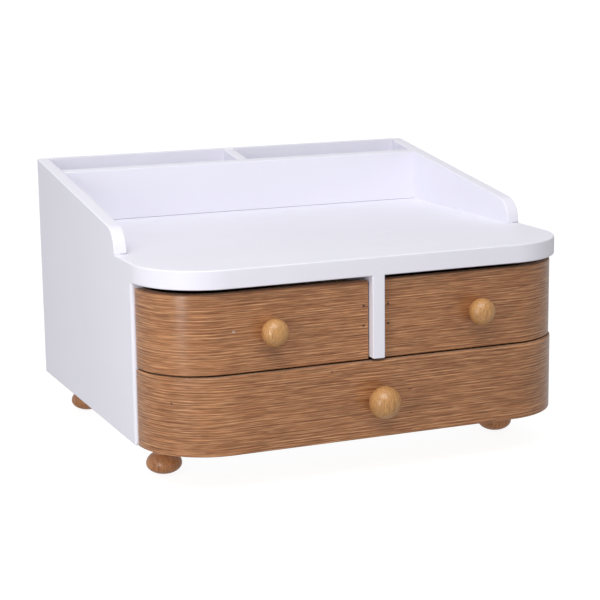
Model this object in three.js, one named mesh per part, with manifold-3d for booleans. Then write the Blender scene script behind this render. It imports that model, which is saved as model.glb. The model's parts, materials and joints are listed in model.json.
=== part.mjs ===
// Desk organizer: a painted board case on turned feet, with a tray between two
// sloped uprights, two compartments at the back and three drawers whose veneered
// fronts are bent round the case's rounded corners.
//
// Millimetres, Z up. X runs left to right and Y front to back. The pieces are
// placed from the middle of the case's front edge, on the floor, and the group
// is moved back at the end, so that the origin is under the middle of the whole
// object, knobs included.
import * as THREE from 'three';
import { mergeVertices } from 'three/addons/utils/BufferGeometryUtils.js';
import Module from 'manifold-3d';

// Overall sizes
const WIDTH = 340;
const DEPTH = 310;
const HEIGHT = 214;
const FOOT_HEIGHT = 30;

// Boards of the case
const SIDE_THICKNESS = 10;
const TOP_THICKNESS = 14;
const BACK_THICKNESS = 6;
const PARTITION_THICKNESS = 9;
const DIVIDER_THICKNESS = 10;
const SHELF_THICKNESS = 9;
const TRAY_LEVEL = 165;
const CORNER_RADIUS = 54;
const SIDE_FRONT = 56;
const UPRIGHT_FRONT = 94;
const UPRIGHT_RADIUS = 18.5;
const SLOPE = THREE.MathUtils.degToRad(8.3);
const COMPARTMENT_DEPTH = 34;
const SHELF_SETBACK = 3;

// Drawer fronts, measured from the case's front edge and outer sides
const FRONT_THICKNESS = 8;
const FRONT_END_GAP = 0.7;
const FRONT_SEAM = 1.2;
const LOWER_FRONT_HEIGHT = 57.4;
const LOWER_FRONT_RECESS = 1;
const LOWER_FRONT_INSET = 2;
const UPPER_FRONT_HEIGHT = 58.2;
const UPPER_FRONT_RECESS = 5.5;
const UPPER_FRONT_INSET = 2.5;
const UPPER_FRONT_END = 0.8;

// Drawer boxes
const WALL_THICKNESS = 7;
const BOX_BOTTOM_THICKNESS = 3;
const BOX_SIDE_CLEARANCE = 1.5;
const BOX_INNER_CLEARANCE = 1.3;
const BOX_RISE = 0.6;
const BOX_BACK = 292;
const LOWER_WALL_TOP = 80;
const UPPER_WALL_TOP = 142;
const BLOCK_LAP = 6;
const BLOCK_NECK = 8;

// Knobs, feet and fasteners
const UPPER_KNOB = { x: 83, radius: 10, half: 8.8, standoff: 9.5, neck: 5.5 };
const LOWER_KNOB = { x: 0, radius: 12, half: 11.3, standoff: 11, neck: 6.5 };
const KNOB_CROWN = 0.12;
const FOOT_X = 141;
const FRONT_FOOT = 79;
const REAR_FOOT = 285;
const BUN = { radius: 13.5, middle: 7.4, under: 8, over: 9.6, overStart: 0.25, overEnd: 1.02 };
const FOOT_NECK = { radius: 7, low: 18, high: 22 };
const FOOT_COLLAR = { radius: 9.5, low: 25 };
const SCREW_RADIUS = 1.75;
const SCREW_HEAD = 3.8;
const SCREW_RIM = 0.8;
const SCREW_POINT = 3;
const SCREW_HOLE_SPARE = 1;
const KNOB_SCREW_LENGTH = 18;
const KNOB_SCREW_DOME = { rim: 1, shoulder: 2.3, shoulderRadius: 2.28, top: 2.5 };
const FOOT_SCREW_LENGTH = 26;
const BRAD_RADIUS = 0.6;
const BRAD_HEAD = 0.9;
const BRAD_HEAD_LENGTH = 1;
const BRAD_POINT = 1.5;
const BRAD_LENGTH = 20;
const BRAD_SINK = 0.3;
const BRAD_HEIGHTS = { lower: 114, upper: 128.5 };

// Space left between pieces that touch
const GAP = 0.3;
const ROUND_SEGMENTS = 20;
const SCREW_SEGMENTS = 12;
const BRAD_SEGMENTS = 8;
const ARC_SEGMENTS = 10;
const BUN_SEGMENTS = { under: 5, over: 4 };

// Levels and places worked out from the sizes above
const HALF_WIDTH = WIDTH / 2;
const INNER_HALF = HALF_WIDTH - SIDE_THICKNESS;
const BACK_FACE = DEPTH - BACK_THICKNESS;
const PARTITION_BACK = BACK_FACE - COMPARTMENT_DEPTH;
const PARTITION_FRONT = PARTITION_BACK - PARTITION_THICKNESS;
const TOP_UNDERSIDE = TRAY_LEVEL - TOP_THICKNESS;
const LOWER_FRONT_TOP = FOOT_HEIGHT + LOWER_FRONT_HEIGHT;
const UPPER_FRONT_BOTTOM = LOWER_FRONT_TOP + FRONT_SEAM;
const SHELF_BOTTOM = LOWER_FRONT_TOP + (FRONT_SEAM - SHELF_THICKNESS) / 2;
const SHELF_TOP = SHELF_BOTTOM + SHELF_THICKNESS;
const BOTTOM_TOP = FOOT_HEIGHT + SHELF_THICKNESS;
const SHELF_FRONT = SIDE_FRONT + SHELF_SETBACK;
const BOX_WALL_BACK = BOX_BACK - WALL_THICKNESS;
const SCREW_HOLE = SCREW_RADIUS + GAP;

const wasm = await Module();
wasm.setup();

function finish(color, roughness, metalness = 0) {
  return () => new THREE.MeshStandardMaterial({ color, roughness, metalness });
}
const whitePaint = finish('#ecebf1', 0.45);
const veneer = finish('#a5785a', 0.5);
const paleWood = finish('#d3b58b', 0.65);
const turnedKnob = finish('#cda067', 0.4);
const turnedFoot = finish('#9c6c46', 0.45);
const steel = finish('#8d8f92', 0.35, 1);

function piece(name, geometry, material) {
  const mesh = new THREE.Mesh(geometry, material());
  mesh.name = name;
  return mesh;
}

// Booleans

function solid(geometry) {
  const bare = geometry.clone();
  bare.deleteAttribute('normal');
  bare.deleteAttribute('uv');
  const merged = mergeVertices(bare, 1e-4);
  return new wasm.Manifold(new wasm.Mesh({
    numProp: 3,
    vertProperties: new Float32Array(merged.attributes.position.array),
    triVerts: new Uint32Array(merged.index.array),
  }));
}

function cut(geometry, cutters) {
  const result = cutters.reduce((body, cutter) => body.subtract(solid(cutter)), solid(geometry));
  const mesh = result.getMesh();
  const out = new THREE.BufferGeometry();
  out.setAttribute('position', new THREE.BufferAttribute(mesh.vertProperties, 3));
  out.setIndex(new THREE.BufferAttribute(mesh.triVerts, 1));
  return out;
}

// Shapes

function box(low, high) {
  const size = high.map((value, i) => value - low[i]);
  const middle = high.map((value, i) => (value + low[i]) / 2);
  return new THREE.BoxGeometry(...size).translate(...middle);
}

function extrudeUp(shape, bottom, top) {
  const options = { depth: top - bottom, bevelEnabled: false, curveSegments: ARC_SEGMENTS };
  return new THREE.ExtrudeGeometry(shape, options).translate(0, 0, bottom);
}

// The shape's first coordinate becomes Y and its second one Z.
function extrudeAcross(shape, left, right) {
  const options = { depth: right - left, bevelEnabled: false, curveSegments: ARC_SEGMENTS };
  const standing = new THREE.Matrix4().makeBasis(
    new THREE.Vector3(0, 1, 0),
    new THREE.Vector3(0, 0, 1),
    new THREE.Vector3(1, 0, 0),
  );
  return new THREE.ExtrudeGeometry(shape, options).applyMatrix4(standing).translate(left, 0, 0);
}

function mirrored(shape) {
  const points = shape.getPoints(ARC_SEGMENTS);
  return new THREE.Shape(points.map((point) => new THREE.Vector2(-point.x, point.y)).reverse());
}

// A turned solid. The profile is a list of [radius, height] pairs, from the
// axis at its low end to the axis at its high end.
function turned(profile, segments = ROUND_SEGMENTS) {
  return new THREE.LatheGeometry(profile.map(([r, h]) => new THREE.Vector2(r, h)), segments);
}

function arcProfile(radius, half, middle, from, to, steps) {
  return Array.from({ length: steps + 1 }, (_, i) => {
    const angle = from + (to - from) * (i / steps);
    return [radius * Math.cos(angle), middle + half * Math.sin(angle)];
  });
}

// Height of the sloped edge that the sides, the partition and the compartment
// divider share, at a distance from the front
function slopeAt(y) {
  return HEIGHT - (DEPTH - y) * Math.tan(SLOPE);
}

// Case

function sideOutline() {
  const arcY = UPRIGHT_FRONT + UPRIGHT_RADIUS;
  const arcZ = slopeAt(arcY) - UPRIGHT_RADIUS / Math.cos(SLOPE);
  const shape = new THREE.Shape();
  shape.moveTo(DEPTH, FOOT_HEIGHT);
  shape.lineTo(DEPTH, HEIGHT);
  shape.absarc(arcY, arcZ, UPRIGHT_RADIUS, Math.PI / 2 + SLOPE, Math.PI, false);
  shape.lineTo(UPRIGHT_FRONT, TOP_UNDERSIDE - GAP);
  shape.lineTo(SIDE_FRONT, TOP_UNDERSIDE - GAP);
  shape.lineTo(SIDE_FRONT, FOOT_HEIGHT);
  return shape;
}

function topOutline() {
  const notch = UPRIGHT_FRONT - GAP;
  const inner = INNER_HALF - GAP;
  const back = BACK_FACE - GAP;
  const shape = new THREE.Shape();
  shape.absarc(HALF_WIDTH - CORNER_RADIUS, CORNER_RADIUS, CORNER_RADIUS, -Math.PI / 2, 0, false);
  shape.lineTo(HALF_WIDTH, notch);
  shape.lineTo(inner, notch);
  shape.lineTo(inner, back);
  shape.lineTo(-inner, back);
  shape.lineTo(-inner, notch);
  shape.lineTo(-HALF_WIDTH, notch);
  shape.absarc(CORNER_RADIUS - HALF_WIDTH, CORNER_RADIUS, CORNER_RADIUS, Math.PI, Math.PI * 1.5, false);
  return shape;
}

// A board that stands on the tray floor and is cut off along the slope
function slopedOutline(front, back) {
  const shape = new THREE.Shape();
  shape.moveTo(front, TRAY_LEVEL + GAP);
  shape.lineTo(back, TRAY_LEVEL + GAP);
  shape.lineTo(back, slopeAt(back));
  shape.lineTo(front, slopeAt(front));
  return shape;
}

// The divider stands on the shelf and reaches forward of it to the case's front
// edge, where its foot drops a little lower, between the drawer fronts.
function drawerDividerOutline() {
  const foot = UPPER_FRONT_BOTTOM + FRONT_SEAM;
  const shelfFace = SHELF_FRONT - GAP;
  const shape = new THREE.Shape();
  shape.moveTo(0, foot);
  shape.lineTo(shelfFace, foot);
  shape.lineTo(shelfFace, SHELF_TOP + GAP);
  shape.lineTo(BACK_FACE - GAP, SHELF_TOP + GAP);
  shape.lineTo(BACK_FACE - GAP, TOP_UNDERSIDE - GAP);
  shape.lineTo(0, TOP_UNDERSIDE - GAP);
  return shape;
}

function crossBoard(bottom, top, front, back) {
  const half = INNER_HALF - GAP;
  return box([-half, front, bottom], [half, back, top]);
}

// A bun on a short neck and collar, with a hole for its screw
function footProfile() {
  const underStart = -Math.asin(BUN.middle / BUN.under);
  const holeBottom = BOTTOM_TOP - FOOT_SCREW_LENGTH - SCREW_HOLE_SPARE;
  return [
    [0, 0],
    ...arcProfile(BUN.radius, BUN.under, BUN.middle, underStart, 0, BUN_SEGMENTS.under),
    ...arcProfile(BUN.radius, BUN.over, BUN.middle, BUN.overStart, BUN.overEnd, BUN_SEGMENTS.over),
    [FOOT_NECK.radius, FOOT_NECK.low],
    [FOOT_NECK.radius, FOOT_NECK.high],
    [FOOT_COLLAR.radius, FOOT_COLLAR.low],
    [FOOT_COLLAR.radius, FOOT_HEIGHT - GAP],
    [SCREW_HOLE, FOOT_HEIGHT - GAP],
    [SCREW_HOLE, holeBottom],
    [0, holeBottom],
  ];
}

// Countersunk, point down, its head level with the bottom board's top. With
// extra it is the hole for that screw.
function footScrewProfile(extra = 0) {
  const top = BOTTOM_TOP;
  const tip = top - FOOT_SCREW_LENGTH - extra;
  return [
    [0, tip],
    [SCREW_RADIUS + extra, tip + SCREW_POINT],
    [SCREW_RADIUS + extra, top - SCREW_HEAD],
    [SCREW_HEAD + extra, top - SCREW_RIM],
    [SCREW_HEAD + extra, top + extra],
    [0, top + extra],
  ];
}

function footPlaces() {
  return [
    { name: 'front_left', x: -FOOT_X, y: FRONT_FOOT },
    { name: 'front_right', x: FOOT_X, y: FRONT_FOOT },
    { name: 'rear_left', x: -FOOT_X, y: REAR_FOOT },
    { name: 'rear_right', x: FOOT_X, y: REAR_FOOT },
  ];
}

function standing(profile, place, segments) {
  return turned(profile, segments).rotateX(Math.PI / 2).translate(place.x, place.y, 0);
}

function bottomBoard() {
  const board = crossBoard(FOOT_HEIGHT, BOTTOM_TOP, SHELF_FRONT, BACK_FACE - GAP);
  const holes = footPlaces().map((place) => standing(footScrewProfile(GAP), place, SCREW_SEGMENTS));
  return cut(board, holes);
}

function makeCase() {
  const group = new THREE.Group();
  const halfDivider = DIVIDER_THICKNESS / 2;
  const halfPartition = PARTITION_THICKNESS / 2;
  const inner = INNER_HALF - GAP;
  const partition = slopedOutline(PARTITION_FRONT, PARTITION_BACK);
  const compartment = slopedOutline(PARTITION_BACK + GAP, BACK_FACE - GAP);
  group.add(
    piece('left_side_panel', extrudeAcross(sideOutline(), -HALF_WIDTH, -INNER_HALF), whitePaint),
    piece('right_side_panel', extrudeAcross(sideOutline(), INNER_HALF, HALF_WIDTH), whitePaint),
    piece('top_board', extrudeUp(topOutline(), TOP_UNDERSIDE, TRAY_LEVEL), whitePaint),
    piece('back_panel', crossBoard(FOOT_HEIGHT, HEIGHT, BACK_FACE, DEPTH), whitePaint),
    piece('rear_partition', extrudeAcross(partition, -inner, inner), whitePaint),
    piece('compartment_divider', extrudeAcross(compartment, -halfPartition, halfPartition), whitePaint),
    piece('drawer_divider', extrudeAcross(drawerDividerOutline(), -halfDivider, halfDivider), whitePaint),
    piece('middle_shelf', crossBoard(SHELF_BOTTOM, SHELF_TOP, SHELF_FRONT, BACK_FACE - GAP), whitePaint),
    piece('bottom_board', bottomBoard(), whitePaint),
  );
  footPlaces().forEach((place) => {
    group.add(piece(`${place.name}_foot`, standing(footProfile(), place), turnedFoot));
    const screw = standing(footScrewProfile(), place, SCREW_SEGMENTS);
    group.add(piece(`${place.name}_foot_screw`, screw, steel));
  });
  return group;
}

// Drawers

// A front seen from above, bent at its left end and, where asked, at its right
function bentOutline(left, right, face, radius, bendRight) {
  const inner = radius - FRONT_THICKNESS;
  const middle = face + radius;
  const shape = new THREE.Shape();
  if (bendRight) {
    shape.absarc(right - radius, middle, radius, -Math.PI / 2, 0, false);
    shape.absarc(right - radius, middle, inner, 0, -Math.PI / 2, true);
  } else {
    shape.moveTo(right, face);
    shape.lineTo(right, face + FRONT_THICKNESS);
  }
  shape.absarc(left + radius, middle, inner, Math.PI * 1.5, Math.PI, true);
  shape.absarc(left + radius, middle, radius, Math.PI, Math.PI * 1.5, false);
  return shape;
}

// The block behind a left bend runs from the side wall's front end to the flat
// part of the front.
function blockOutline(drawer) {
  const radius = drawer.radius - FRONT_THICKNESS - GAP;
  const arcX = drawer.left + drawer.radius;
  const arcY = drawer.face + drawer.radius;
  const start = Math.asin(BLOCK_LAP / radius);
  const shape = new THREE.Shape();
  shape.absarc(arcX, arcY, radius, Math.PI + start, Math.PI * 1.5, false);
  shape.lineTo(arcX, arcY - radius + BLOCK_NECK);
  shape.lineTo(drawer.wallLeft + WALL_THICKNESS, arcY - BLOCK_LAP);
  return shape;
}

// The bottom lies inside the walls and follows the left bend, and where asked
// the right one too.
function boxBottomOutline(drawer, bendRight) {
  const radius = drawer.radius - FRONT_THICKNESS - GAP;
  const arcX = drawer.left + drawer.radius;
  const arcY = drawer.face + drawer.radius;
  const left = drawer.wallLeft + WALL_THICKNESS + GAP;
  const right = drawer.wallRight - WALL_THICKNESS - GAP;
  const start = Math.acos((arcX - left) / radius);
  const back = BOX_WALL_BACK - GAP;
  const shape = new THREE.Shape();
  if (bendRight) {
    shape.absarc(-arcX, arcY, radius, -Math.PI / 2, -start, false);
  } else {
    shape.moveTo(right, arcY - radius);
  }
  shape.lineTo(right, back);
  shape.lineTo(left, back);
  shape.absarc(arcX, arcY, radius, Math.PI + start, Math.PI * 1.5, false);
  return shape;
}

// A ball knob, from its flat base at height 0, with a hole for its screw
function knobProfile(knob) {
  const depth = KNOB_SCREW_LENGTH - FRONT_THICKNESS + SCREW_HOLE_SPARE;
  const start = -Math.acos(knob.neck / knob.radius);
  const end = Math.PI / 2 - KNOB_CROWN;
  return [
    [0, depth],
    [SCREW_HOLE, depth],
    [SCREW_HOLE, 0],
    [knob.neck, 0],
    ...arcProfile(knob.radius, knob.half, knob.standoff, start, end, ARC_SEGMENTS),
    [0, knob.standoff + knob.half],
  ];
}

// Round head, its underside at height 0 and its point at minus its length
function knobScrewProfile() {
  return [
    [0, -KNOB_SCREW_LENGTH],
    [SCREW_RADIUS, SCREW_POINT - KNOB_SCREW_LENGTH],
    [SCREW_RADIUS, 0],
    [SCREW_HEAD, 0],
    [SCREW_HEAD, KNOB_SCREW_DOME.rim],
    [KNOB_SCREW_DOME.shoulderRadius, KNOB_SCREW_DOME.shoulder],
    [0, KNOB_SCREW_DOME.top],
  ];
}

// Small head, its top at height 0. With extra it is the hole for that brad,
// which comes out through the front's outer face.
function bradProfile(extra = 0) {
  const top = extra > 0 ? BRAD_SINK * 2 : 0;
  return [
    [0, -BRAD_LENGTH - extra],
    [BRAD_RADIUS + extra, BRAD_POINT - BRAD_LENGTH],
    [BRAD_RADIUS + extra, -BRAD_HEAD_LENGTH],
    [BRAD_HEAD + extra, -BRAD_HEAD_LENGTH],
    [BRAD_HEAD + extra, top],
    [0, top],
  ];
}

// Turned pieces that lie along Y: heads of screws face back, heads of brads and
// the knobs face forward.
function facingBack(profile, x, y, z, segments) {
  return turned(profile, segments).translate(x, y, z);
}

function facingFront(profile, x, y, z, segments) {
  return turned(profile, segments).rotateX(Math.PI).translate(x, y, z);
}

const LOWER_DRAWER = {
  left: LOWER_FRONT_INSET - HALF_WIDTH,
  right: HALF_WIDTH - LOWER_FRONT_INSET,
  face: LOWER_FRONT_RECESS,
  radius: SIDE_FRONT - FRONT_END_GAP - LOWER_FRONT_RECESS,
  bottom: FOOT_HEIGHT,
  top: LOWER_FRONT_TOP,
  wallLeft: BOX_SIDE_CLEARANCE - INNER_HALF,
  wallRight: INNER_HALF - BOX_SIDE_CLEARANCE,
  boxBottom: BOTTOM_TOP + BOX_RISE,
  wallTop: LOWER_WALL_TOP,
  knob: LOWER_KNOB,
};

const UPPER_DRAWER = {
  left: UPPER_FRONT_INSET - HALF_WIDTH,
  right: -DIVIDER_THICKNESS / 2 - UPPER_FRONT_END,
  face: UPPER_FRONT_RECESS,
  radius: SIDE_FRONT - FRONT_END_GAP - UPPER_FRONT_RECESS,
  bottom: UPPER_FRONT_BOTTOM,
  top: UPPER_FRONT_BOTTOM + UPPER_FRONT_HEIGHT,
  wallLeft: BOX_SIDE_CLEARANCE - INNER_HALF,
  wallRight: -DIVIDER_THICKNESS / 2 - BOX_INNER_CLEARANCE,
  boxBottom: SHELF_TOP + BOX_RISE,
  wallTop: UPPER_WALL_TOP,
  knob: UPPER_KNOB,
};

// The knob and its screw, on the front's outer and inner face
function addKnob(group, drawer, name, x) {
  const z = (drawer.bottom + drawer.top) / 2;
  const base = drawer.face - GAP;
  const seat = drawer.face + FRONT_THICKNESS + GAP;
  group.add(piece(`${name}_knob`, facingFront(knobProfile(drawer.knob), x, base, z), turnedKnob));
  const screw = facingBack(knobScrewProfile(), x, seat, z, SCREW_SEGMENTS);
  group.add(piece(`${name}_knob_screw`, screw, steel));
}

// A shank hole for the knob screw, right through the front
function knobHole(drawer, x) {
  const z = (drawer.bottom + drawer.top) / 2;
  const start = -SCREW_HOLE_SPARE;
  const end = FRONT_THICKNESS + SCREW_HOLE_SPARE;
  const profile = [[0, start], [SCREW_HOLE, start], [SCREW_HOLE, end], [0, end]];
  return facingBack(profile, x, drawer.face, z, SCREW_SEGMENTS);
}

// A drawer's boxes and shapes are drawn for a drawer on the left. Side is -1 for
// those and 1 for their mirror images.
function sidedBox(side, low, high) {
  if (side < 0) {
    return box(low, high);
  }
  return box([-high[0], low[1], low[2]], [-low[0], high[1], high[2]]);
}

function sided(side, shape) {
  return side < 0 ? shape : mirrored(shape);
}

function wall(drawer, side, left, front, right, back) {
  return sidedBox(side, [left, front, drawer.boxBottom], [right, back, drawer.wallTop]);
}

function outerWall(drawer, side) {
  const front = drawer.face + drawer.radius - BLOCK_LAP + GAP;
  return wall(drawer, side, drawer.wallLeft, front, drawer.wallLeft + WALL_THICKNESS, BOX_BACK);
}

function innerWall(drawer, side) {
  const front = drawer.face + FRONT_THICKNESS + GAP;
  return wall(drawer, side, drawer.wallRight - WALL_THICKNESS, front, drawer.wallRight, BOX_BACK);
}

function backWall(drawer, side) {
  const left = drawer.wallLeft + WALL_THICKNESS + GAP;
  const right = drawer.wallRight - WALL_THICKNESS - GAP;
  return wall(drawer, side, left, BOX_WALL_BACK, right, BOX_BACK);
}

function cornerBlock(drawer, side) {
  const low = drawer.boxBottom + BOX_BOTTOM_THICKNESS + GAP;
  return extrudeUp(sided(side, blockOutline(drawer)), low, drawer.wallTop);
}

function boxBottom(drawer, side, bendRight) {
  const outline = sided(side, boxBottomOutline(drawer, bendRight));
  return extrudeUp(outline, drawer.boxBottom, drawer.boxBottom + BOX_BOTTOM_THICKNESS);
}

function drawerFront(drawer, side, bendRight, holes) {
  const outline = bentOutline(drawer.left, drawer.right, drawer.face, drawer.radius, bendRight);
  return cut(extrudeUp(sided(side, outline), drawer.bottom, drawer.top), holes);
}

function makeLowerDrawer() {
  const drawer = LOWER_DRAWER;
  const name = 'lower_drawer';
  const knobX = LOWER_KNOB.x;
  const group = new THREE.Group();
  group.add(
    piece(`${name}_front`, drawerFront(drawer, -1, true, [knobHole(drawer, knobX)]), veneer),
    piece(`${name}_back_wall`, backWall(drawer, -1), paleWood),
    piece(`${name}_bottom`, boxBottom(drawer, -1, true), paleWood),
  );
  [[-1, 'left'], [1, 'right']].forEach(([side, word]) => {
    group.add(piece(`${name}_${word}_wall`, outerWall(drawer, side), paleWood));
    group.add(piece(`${name}_${word}_corner_block`, cornerBlock(drawer, side), paleWood));
  });
  addKnob(group, drawer, name, knobX);
  return group;
}

function makeUpperDrawer(side) {
  const drawer = UPPER_DRAWER;
  const name = side < 0 ? 'upper_left_drawer' : 'upper_right_drawer';
  const knobX = UPPER_KNOB.x * side;
  const bradX = (WALL_THICKNESS / 2 - drawer.wallRight) * side;
  const bradHead = drawer.face + BRAD_SINK;
  const brad = (z, extra) => facingFront(bradProfile(extra), bradX, bradHead, z, BRAD_SEGMENTS);
  const bradHoles = Object.values(BRAD_HEIGHTS).map((z) => brad(z, GAP));
  const front = drawerFront(drawer, side, false, [knobHole(drawer, knobX), ...bradHoles]);
  const group = new THREE.Group();
  group.add(
    piece(`${name}_front`, front, veneer),
    piece(`${name}_outer_wall`, outerWall(drawer, side), paleWood),
    piece(`${name}_inner_wall`, cut(innerWall(drawer, side), bradHoles), paleWood),
    piece(`${name}_back_wall`, backWall(drawer, side), paleWood),
    piece(`${name}_bottom`, boxBottom(drawer, side, false), paleWood),
    piece(`${name}_corner_block`, cornerBlock(drawer, side), paleWood),
  );
  addKnob(group, drawer, name, knobX);
  Object.entries(BRAD_HEIGHTS).forEach(([word, z]) => {
    group.add(piece(`${name}_${word}_brad`, brad(z), steel));
  });
  return group;
}

const organizer = new THREE.Group();
organizer.add(makeCase(), makeLowerDrawer(), makeUpperDrawer(-1), makeUpperDrawer(1));
const knobReach = LOWER_KNOB.standoff + LOWER_KNOB.half - LOWER_FRONT_RECESS + GAP;
organizer.position.y = -(DEPTH - knobReach) / 2;

export default organizer;
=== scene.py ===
"""The desk organizer's visual model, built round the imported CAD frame.

Metres, Z up, in the row frame. Every CAD node is replaced by a finer piece that
takes its place and size from the node's box: painted boards with rounded edges,
bent veneered fronts, turned knobs and feet, drawer boxes, screws and brads.
"""
import json
import math

import bmesh
import bpy
from mathutils import Matrix, Vector


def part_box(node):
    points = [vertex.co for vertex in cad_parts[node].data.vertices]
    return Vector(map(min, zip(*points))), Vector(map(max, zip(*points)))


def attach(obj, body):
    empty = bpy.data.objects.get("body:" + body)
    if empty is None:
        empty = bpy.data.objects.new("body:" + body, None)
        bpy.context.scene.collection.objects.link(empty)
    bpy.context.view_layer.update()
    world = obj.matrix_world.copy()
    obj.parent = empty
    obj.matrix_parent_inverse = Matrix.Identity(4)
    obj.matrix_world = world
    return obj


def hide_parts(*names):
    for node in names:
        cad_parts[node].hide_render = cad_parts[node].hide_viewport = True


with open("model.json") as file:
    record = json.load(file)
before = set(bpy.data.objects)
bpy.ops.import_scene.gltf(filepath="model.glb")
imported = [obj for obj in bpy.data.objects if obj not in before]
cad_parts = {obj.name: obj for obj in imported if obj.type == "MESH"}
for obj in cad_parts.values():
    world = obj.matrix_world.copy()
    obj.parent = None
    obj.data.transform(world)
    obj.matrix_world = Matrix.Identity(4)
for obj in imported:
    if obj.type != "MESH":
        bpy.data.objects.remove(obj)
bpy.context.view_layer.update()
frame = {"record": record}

# Camera
CAMERA_PLACE = (-0.52476, -1.24152, 0.37741)
CAMERA_YAW = 22.858
CAMERA_PITCH = -11.336
CAMERA_ROLL = -0.708
CAMERA_LENS = 102.62
SENSOR_WIDTH = 36

# Case shapes that a node's box doesn't give
CORNER_RADIUS = 0.054
UPRIGHT_SETBACK = 0.094
UPRIGHT_RADIUS = 0.0185
SLOPE = math.radians(8.3)

# Drawer shapes
FRONT_THICKNESS = 0.008
BLOCK_LAP = 0.006
BLOCK_NECK = 0.008
FIT = 0.0003

# Rounded edges
BOARD_EDGE = 0.001
HAIR_EDGE = 0.00005
PANEL_FRONT_EDGE = 0.0026
FRONT_EDGE = 0.0008
BOX_EDGE = 0.0005
THIN_EDGE = BOX_EDGE * 0.5
SHARP_ANGLE = math.radians(30)

# Turned knobs and feet. The foot's neck is radii and heights from the bun's top to the collar,
# and the angles are those of the two halves of the bun
KNOB_NECKS = {"upper": 0.0055, "lower": 0.0065}
KNOB_STANDOFFS = {"upper": 0.0095, "lower": 0.011}
KNOB_FLARE = 0.0003
BUN_MIDDLE = 0.0074
BUN_UNDER = 0.008
BUN_OVER = 0.0096
BUN_UNDER_ANGLES = (-67.7, 0)
BUN_OVER_ANGLES = (4, 56)
FOOT_NECK = [
    (0.0070, 0.0166),
    (0.0068, 0.0180),
    (0.0068, 0.0215),
    (0.0074, 0.0236),
    (0.0095, 0.0252),
]
FOOT_COLLAR = 0.0095

# Screws and brads
SCREW_RADIUS = 0.00175
SCREW_HEAD = 0.0038
SCREW_TIP = SCREW_RADIUS * 0.3
SCREW_BLUNT = 0.0003
FOOT_SCREW_POINT = 0.003
FOOT_SCREW_RIM = 0.0008
KNOB_SCREW_POINT = 0.0025
KNOB_SCREW_HEAD_LENGTH = 0.0025
KNOB_SCREW_DOME = 0.0019
KNOB_SCREW_DOME_ANGLES = (-18, 72)
RECESS_WIDTH = SCREW_HEAD * 1.15
RECESS_DEPTH = RECESS_WIDTH * 0.8
RECESS_WING = RECESS_WIDTH * 0.2
RECESS_TAPER = 0.45
BRAD_RADIUS = 0.0006
BRAD_HEAD = 0.0009
BRAD_HEAD_LENGTH = 0.001
BRAD_POINT = 0.0015
BRAD_SINK = 0.0003
BRAD_FIT = FIT / 3

# Wood: how much each layer of the grain counts, in colour and in relief
YEAR_SHARE = 0.42
FIBRE_TINT = 0.8
BLOTCH_TINT = 0.22
PORE_TINT = 0.45
YEAR_RELIEF = 0.9
PORE_RELIEF = 0.6
SWAY_TURNS = 16.0
WOOD_COAT_ROUGHNESS = 0.23

# Light
KEY_PLACE = (-0.6, -0.95, 1.8)
KEY_TARGET = (0, 0, 0.1)
KEY_SIZE = (1.6, 1.2)
KEY_WATTS = 23
STRIP_PLACE = (-0.62, -0.5, 0.2)
STRIP_TARGET = (-0.12, -0.1, 0.09)
STRIP_SIZE = (0.16, 0.38)
STRIP_WATTS = 1.1
ROOM_LEFT = 0.66
ROOM_RIGHT = 0.40
ROOM_SEEN = 1.0
FLOOR_LIGHT = 0.30
FLOOR_SEEN = 0.90
FLOOR_REACH = 20

# Smoothness
ARC_STEPS = 32
EDGE_STEPS = 4
CORNER_STEPS = 4
TURNED_STEPS = 72
BUN_STEPS = 14
KNOB_STEPS = 40
SCREW_STEPS = 32
SCREW_DOME_STEPS = 8
WELD = 1e-7

BODY_OF = {
    node: body
    for body, nodes in frame["record"]["behaviour"]["bodies"].items()
    for node in nodes
}


# ---------------------------------------------------------------- mesh building


def arc(centre_a, centre_b, radius, start, end, steps=ARC_STEPS):
    """Points along an arc, both ends included. Angles are in degrees."""
    angles = [math.radians(start + (end - start) * i / steps) for i in range(steps + 1)]
    return [(centre_a + radius * math.cos(a), centre_b + radius * math.sin(a)) for a in angles]


def corners_of(outline):
    """Each corner of an outline with the unit directions that lead to it and away from it."""
    points = [Vector(point) for point in outline]
    for i, point in enumerate(points):
        after = points[(i + 1) % len(points)]
        yield point, (point - points[i - 1]).normalized(), (after - point).normalized()


def inward(direction):
    """The inner side of a stretch of an outline that runs counterclockwise."""
    return Vector((-direction.y, direction.x))


def softened(outline, radius, chosen=lambda point: True):
    """The outline with its sharp corners rounded, or only the chosen ones."""
    points = []
    for point, coming, going in corners_of(outline):
        turn = math.atan2(coming.x * going.y - coming.y * going.x, coming.dot(going))
        if abs(turn) < SHARP_ANGLE or not chosen(point):
            points.append(tuple(point))
            continue
        start = point - coming * radius * math.tan(abs(turn) / 2)
        centre = start + inward(coming) * math.copysign(radius, turn)
        for i in range(CORNER_STEPS + 1):
            part = Matrix.Rotation(turn * i / CORNER_STEPS, 2)
            points.append(tuple(centre + part @ (start - centre)))
    return points


def quarter(radius):
    """How far a rounded edge is drawn in and how far it has come along, from one face of it to
    the other."""
    for i in range(EDGE_STEPS + 1):
        angle = math.pi / 2 * i / EDGE_STEPS
        yield radius * (1 - math.sin(angle)), radius * (1 - math.cos(angle))


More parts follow.
